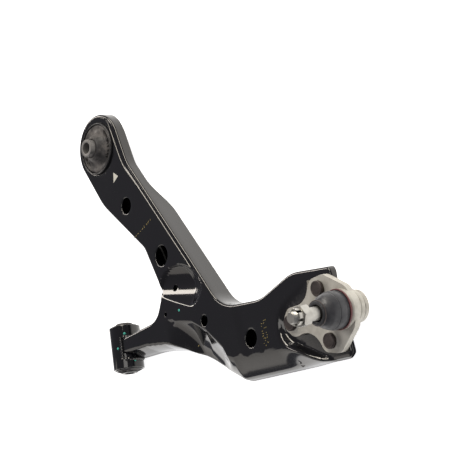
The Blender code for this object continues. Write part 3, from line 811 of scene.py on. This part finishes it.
def stud_and_nut():
    place = joint_place()
    profile = [(0, -10.5), (5.8, -10.5)]
    for k in range(25):
        angle = math.radians(-58 + 4.6 * k)
        profile.append((12 * math.cos(angle), 12 * math.sin(angle)))
    profile += [(6.6, 15), (6.9, 24), (7.9, 26), (8.0, 27), (8.0, 40), (7.0, 54)]
    for k in range(13):
        profile += [(6.9, 56 + 1.4 * k), (6.3, 56.7 + 1.4 * k)]
    profile += [(6.9, 74.2), (6.0, 75.5), (0, 75.5)]
    placed(turned("stud", profile, MACHINED, 64, **place), "stud", "ball_stud", "ball_stud")
    low, high, crown = 53.0, 64.0, 70.0
    nut = prism("slotted_nut", hexagon(12.7), low, high, MACHINED, **place)
    bevel = [(0, low - 2), (11.4, low - 2), (11.4, low - 0.2), (12.9, low + 1.2), (12.9, high - 1.2),
             (11.2, high + 0.2), (11.2, high + 2), (0, high + 2)]
    combine(nut, turned("chamfer", bevel, MACHINED, 64, **place), "INTERSECT")
    crown_profile = eased([(0, high - 2), (9.6, high - 2), (9.6, crown), (0, crown)], 0.6)
    combine(nut, turned("crown", crown_profile, MACHINED, 64, **place), "UNION")
    bore = [(0, low - 1), (8.3, low - 1), (7.5, 57), (7.2, crown + 1), (0, crown + 1)]
    combine(nut, turned("bore", bore, MACHINED, 64, **place))
    for k in range(3):
        turn = Matrix.Rotation(math.radians(60 * k + 30), 2)
        slot = [turn @ Vector(p) for p in ((-12, -1.7), (12, -1.7), (12, 1.7), (-12, 1.7))]
        combine(nut, prism("slot", slot, high + 1, crown + 2, MACHINED, **place))
    soften(nut, 0.35, 2, 35)
    placed(nut, "stud", "castle_nut", "castle_nut")


def boot():
    """The dust boot in two lengths, a skirt and a cone, in place of the CAD boot."""
    place = joint_place()
    ring = [(21.6, 4.9), (23.0, 4.9), (23.0, 7.5), (21.6, 7.5)]
    placed(turned("boot_clip", eased(ring, 0.6), RED_CLIP, 96, **place), "arm", "boot_base_ring",
           "boot_base_ring")
    skirt = [(21.3, 4.4), (21.3, 8.2), (21.0, 9.4), (21.9, 12.5), (21.7, 17.0), (21.0, 20.2),
             (18.7, 20.2), (20.0, 15.0), (20.2, 11.0), (20.3, 4.4)]
    cone = [(21.0, 20.0), (20.4, 22.0), (18.6, 27.0), (15.6, 31.4), (13.2, 33.8), (12.4, 35.0),
            (13.6, 36.0), (13.6, 37.6), (12.4, 38.3), (9.5, 38.0), (9.4, 34.0), (13.2, 29.6),
            (16.4, 25.2), (18.7, 20.0)]
    for name, outline, bodies, span in (("boot_skirt", skirt, ("arm", "boot"), (7.0, 19.0)),
                                        ("boot_cone", cone, ("boot", "boot_neck"), (21.0, 33.0))):
        part = turned(name, eased(outline, 1.2, 4), BOOT_RUBBER, 96, **place)
        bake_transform(part)
        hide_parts("dust_boot")
    top = [(13.8, 35.9), (14.5, 35.9), (14.5, 37.3), (13.8, 37.3)]
    placed(turned("boot_neck_ring", eased(top, 0.3), DARK_STEEL, 96, **place), "boot_neck",
           "boot_top_ring", "boot_top_ring")


def fasteners():
    under = FLANGE_BOTTOM - GAP - SHEET
    for number, (x, y) in enumerate(FLANGE_BOLTS, 1):
        place = joint_place(x, y)
        tip, head = under - 12.5, FLANGE_TOP + 0.9
        bolt = [(0, tip), (4.3, tip), (BOLT_SHANK, tip + 1), (BOLT_SHANK, head), (9, head),
                (9, head + 3.9), (8.4, head + 4.5), (7.3, head + 4.5), (6.9, head + 4.1), (0, head + 4.1)]
        placed(turned(f"round_bolt_{number}", eased(bolt, 0.35), DARK_STEEL, 64, **place), "arm",
               f"flange_bolt_{number}", f"flange_bolt_{number}")
        top = under - 0.6
        nut = prism(f"zinc_nut_{number}", hexagon(17.0 / math.sqrt(3)), top - 9, top - 1.4, BLUE_ZINC,
                    **place)
        collar = eased([(0, top - 2.4), (10.2, top - 2.4), (10.2, top), (0, top)], 0.3)
        combine(nut, turned("collar", collar, BLUE_ZINC, 64, **place), "UNION")
        thread = [(0, -60), (5.3, -60), (5.3, 20), (0, 20)]
        combine(nut, turned("thread", thread, BLUE_ZINC, 48, **place))
        soften(nut, 0.4, 2, 35)
        placed(nut, "arm", f"flange_nut_{number}", f"flange_nut_{number}")


# ---- marks ----------------------------------------------------------------------------------------

def dab(name, x, y, z, size, material, slot, lean=0.0):
    """A small flat spot of paint lying on a surface."""
    bm = bmesh.new()
    bmesh.ops.create_uvsphere(bm, u_segments=14, v_segments=8, radius=size * MM)
    for number, vert in enumerate(bm.verts):
        vert.co.z *= 0.22
        vert.co.x *= 1 + 0.25 * math.sin(number * 1.3)
    spot = piece(name, bm, material, world(x, y, z), (0, lean, 0))
    placed(spot, "arm", slot)


def stroke(name, x, y, length, turn):
    """One short printed stroke on the face, which spells nothing."""
    path = [(-length / 2, -0.35), (length / 2, -0.35), (length / 2, 0.35), (-length / 2, 0.35)]
    height = face_height(Vector((x, y)))
    mark = prism(name, path, 0.0, MARK_THICKNESS, OCHRE_MARK, world(x, y, height),
                 (0, 0, math.radians(turn)))
    placed(mark, "arm", "upper_shell")


def marks():
    """Paint dots, the strokes that stand for stamped and printed text, and a pale triangle of painted
    highlight where a small facet catches the light.
    """
    x, _, z = FRONT_BUSH
    reach = TUBE_RADIUS + 0.1
    for number, (angle, y) in enumerate(((20, -258.5), (80, -275.6), (52, -241.0)), 1):
        a = math.radians(angle)
        dab(f"paint_dot_{number}", x + reach * math.sin(a), y, z + reach * math.cos(a), 1.5, TEAL_MARK,
            "front_bush_housing", a)
    for name, x, y, size, look in (("paint_dot_4", 128, -239, 1.6, TEAL_MARK),
                                   ("paint_dot_5", 135, -284, 1.3, OCHRE_MARK)):
        dab(name, x, y, face_height(Vector((x, y))), size, look, "upper_shell")
    dice = random.Random(7)
    for k in range(9):
        stroke(f"tag_stroke_{k}", 56 + 4.7 * k + dice.uniform(-1, 1), -131 + 1.7 * k,
               dice.uniform(1.5, 4.0), dice.uniform(20, 110))
    for row in range(3):
        for k in range(11):
            if dice.random() < 0.6:
                stroke(f"label_stroke_{row}_{k}", 279 + 3.6 * row + dice.uniform(-1, 1),
                       -286 - 2.9 * k, dice.uniform(1.0, 2.8), dice.uniform(-40, 60))
    # pale triangle on the face near the rear bush: a painted highlight standing for light off a small
    # facet
    corner = prism("painted_highlight_triangle", [(28, -39), (26, -52), (37, -46)], 0.0, MARK_THICKNESS,
                   PAINTED_HIGHLIGHT, world(0, 0, face_height(Vector((30, -46)))))
    placed(corner, "arm", "upper_shell")


# ---- stage ----------------------------------------------------------------------------------------

def floor():
    bpy.ops.mesh.primitive_plane_add(size=40, location=(0, 0, 0))
    ground = bpy.context.object
    ground.name = "floor"
    material = bpy.data.materials.new("pale_floor")
    material.use_nodes = True
    shader = material.node_tree.nodes["Principled BSDF"]
    shader.inputs["Base Color"].default_value = (0.9, 0.9, 0.9, 1)
    shader.inputs["Roughness"].default_value = 0.9
    shader.inputs["Emission Color"].default_value = (1, 1, 1, 1)
    shader.inputs["Emission Strength"].default_value = 0.9
    ground.data.materials.append(material)


def softbox(name, direction, distance, size, radiance, aim=(0, 0, 0.03), turn=0.0, colour=(1, 1, 1)):
    """A rectangular light of even brightness, facing the point it is aimed at."""
    light = bpy.data.lights.new(name, "AREA")
    light.shape = "RECTANGLE"
    light.size, light.size_y = size
    light.energy = radiance * math.pi * size[0] * size[1]
    light.color = colour
    obj = bpy.data.objects.new(name, light)
    aim = Vector(aim)
    obj.location = aim + Vector(direction).normalized() * distance
    facing = (aim - obj.location).to_track_quat("-Z", "Y").to_matrix().to_4x4()
    obj.rotation_euler = (facing @ Matrix.Rotation(math.radians(turn), 4, "Z")).to_euler()
    bpy.context.scene.collection.objects.link(obj)


def studio():
    world_look = bpy.data.worlds.new("studio")
    world_look.use_nodes = True
    world_look.node_tree.nodes["Background"].inputs["Color"].default_value = (0.165, 0.165, 0.19, 1)
    bpy.context.scene.world = world_look
    softbox("rear_box", (0.28, 0.76, 0.59), 2.2, (2.4, 0.5), 13, turn=-30.5, colour=(1.0, 0.95, 0.86))
    cup = world(*CUP_CENTRE, -CUP_DEPTH)
    softbox("trough_strip", (-0.65, 0.51, 0.555), 4.0, (2.4, 0.62), 12, cup, -49.5, (1.0, 0.94, 0.88))
    softbox("front_panel", (-0.76, -0.42, 0.45), 1.8, (1.66, 1.2), 1.0, colour=(1.0, 0.96, 0.9))
    softbox("overhead", (0.45, -0.15, 0.9), 2.0, (1.0, 1.0), 2.6)


def camera():
    """Long lens from outboard and above, rolled so the car's rear is up."""
    azimuth, elevation, roll, distance = -15.94, 37.54, -87.62, 2.5806
    aim = Vector((0.0365, -0.0063, FACE_HEIGHT * MM))
    data = bpy.data.cameras.new("camera")
    data.sensor_width = 36.0
    data.lens = 176.0
    data.clip_end = 100
    obj = bpy.data.objects.new("camera", data)
    a, e = math.radians(azimuth), math.radians(elevation)
    away = Vector((math.cos(e) * math.cos(a), math.cos(e) * math.sin(a), math.sin(e)))
    obj.location = aim + away * distance
    facing = (-away).to_track_quat("-Z", "Y").to_matrix().to_4x4()
    obj.rotation_euler = (facing @ Matrix.Rotation(math.radians(roll), 4, "Z")).to_euler()
    bpy.context.scene.collection.objects.link(obj)
    bpy.context.scene.camera = obj


def dress_cad():
    """Materials for the CAD nodes that stay as they are."""
    looks = {"rear_bush_collar": PAINT, "ball_seat": SEAT_PLASTIC, "housing_cover_plate": ZINC}
    for name, look in looks.items():
        node = frame["nodes"][name]
        for slot in node.material_slots:
            slot.material = look
        shade(node, 35)


bpy.context.scene.view_settings.view_transform = "Standard"
upper_shell()
lower_shell()
rear_bush()
front_bush()
housing()
stud_and_nut()
boot()
fasteners()
marks()
dress_cad()
floor()
studio()
camera()
